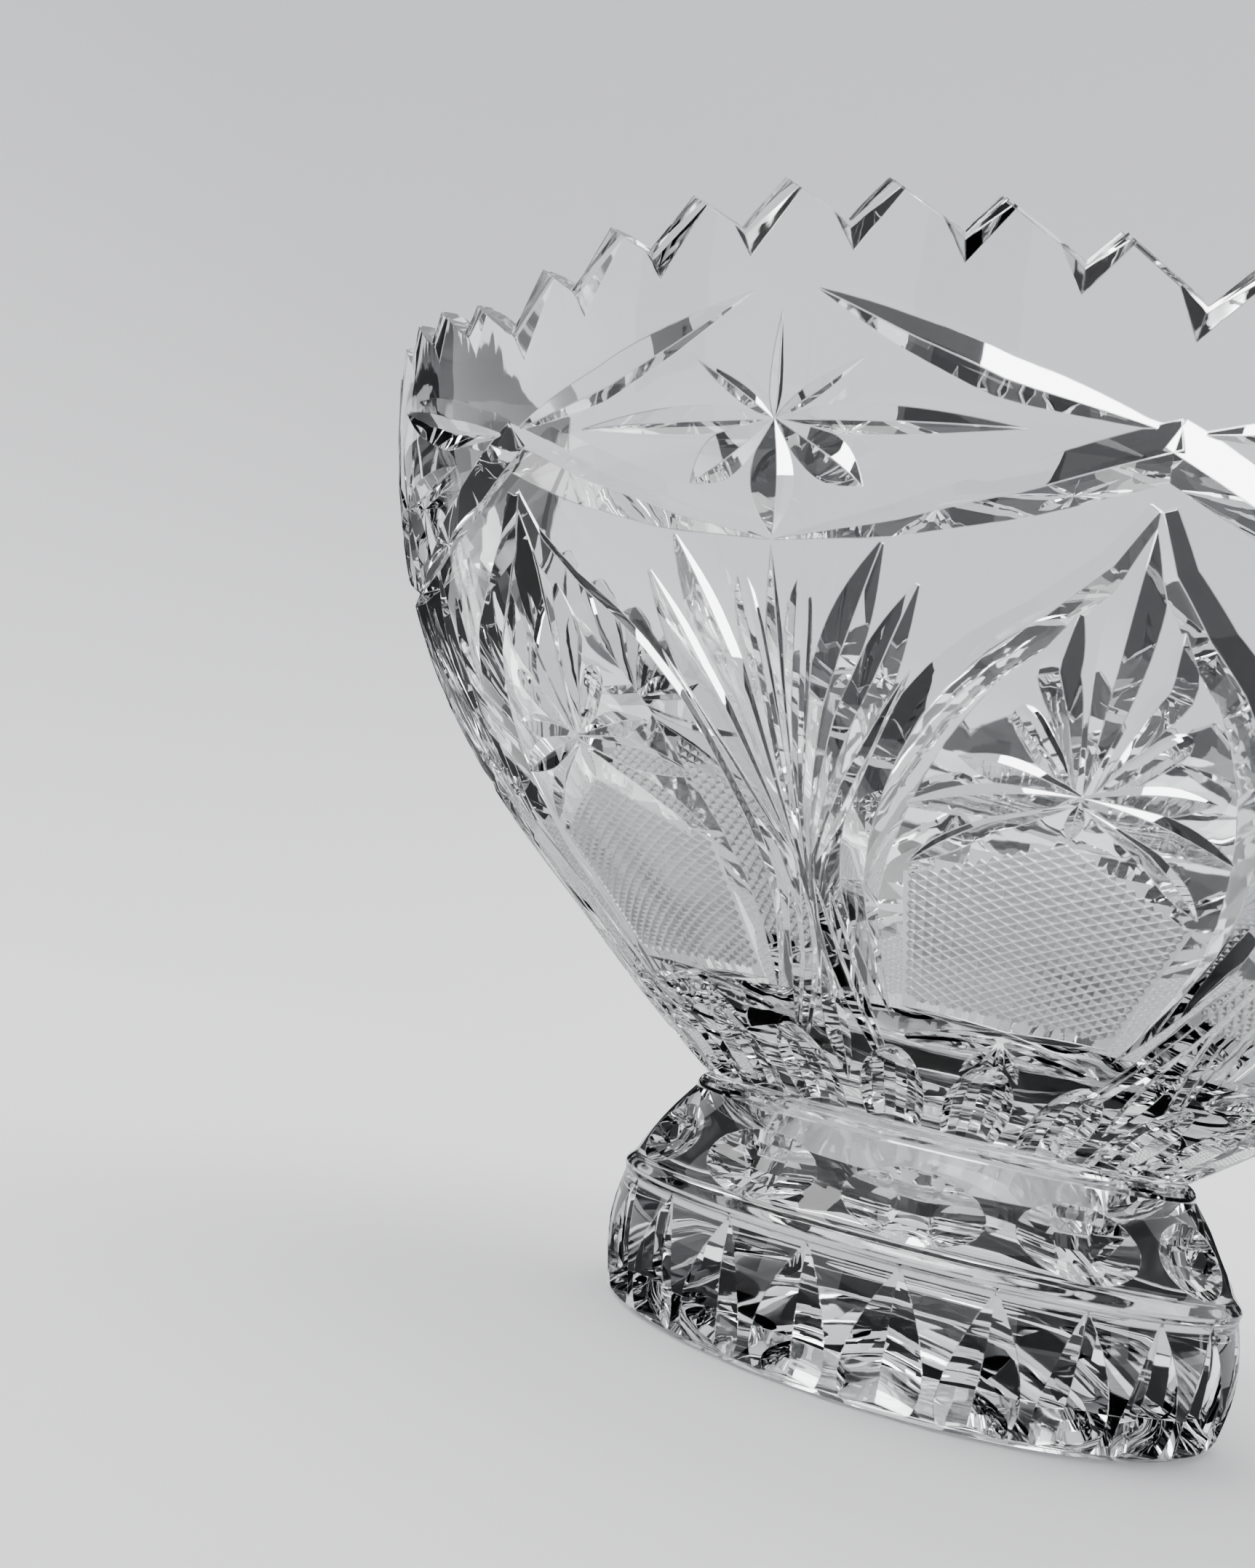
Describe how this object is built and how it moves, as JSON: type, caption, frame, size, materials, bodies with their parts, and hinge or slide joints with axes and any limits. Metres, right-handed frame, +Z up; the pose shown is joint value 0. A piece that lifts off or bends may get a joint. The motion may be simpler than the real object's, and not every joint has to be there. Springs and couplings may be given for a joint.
{
  "type": "punch bowl",
  "caption": "Deep cut-crystal punch bowl with a scalloped saw-tooth rim and mitre-cut arches, resting loose in a separate flared glass stand.",
  "frame": {"origin": "centre of the stand's resting ring, on the table", "axes": "+Z up along the axis of the bowl and the stand; +X through a deep valley of the rim, and so is -Y, the picture's near side"},
  "size_m": [0.2844, 0.2844, 0.1715],
  "materials": {
    "bowl_crystal": "polished colourless lead crystal, mitre cut, with unpolished hatched panels",
    "stand_crystal": "polished colourless lead crystal with rounded, softened cuts"
  },
  "bodies": {
    "stand_body": {"stand": "stand_crystal"},
    "bowl_body": {"bowl": "bowl_crystal"}
  },
  "joints": [
    {"name": "bowl_lift", "type": "slide", "parent": "stand_body", "child": "bowl_body", "axis": [0, 0, 1], "range_m": [0, 0.04]}
  ]
}
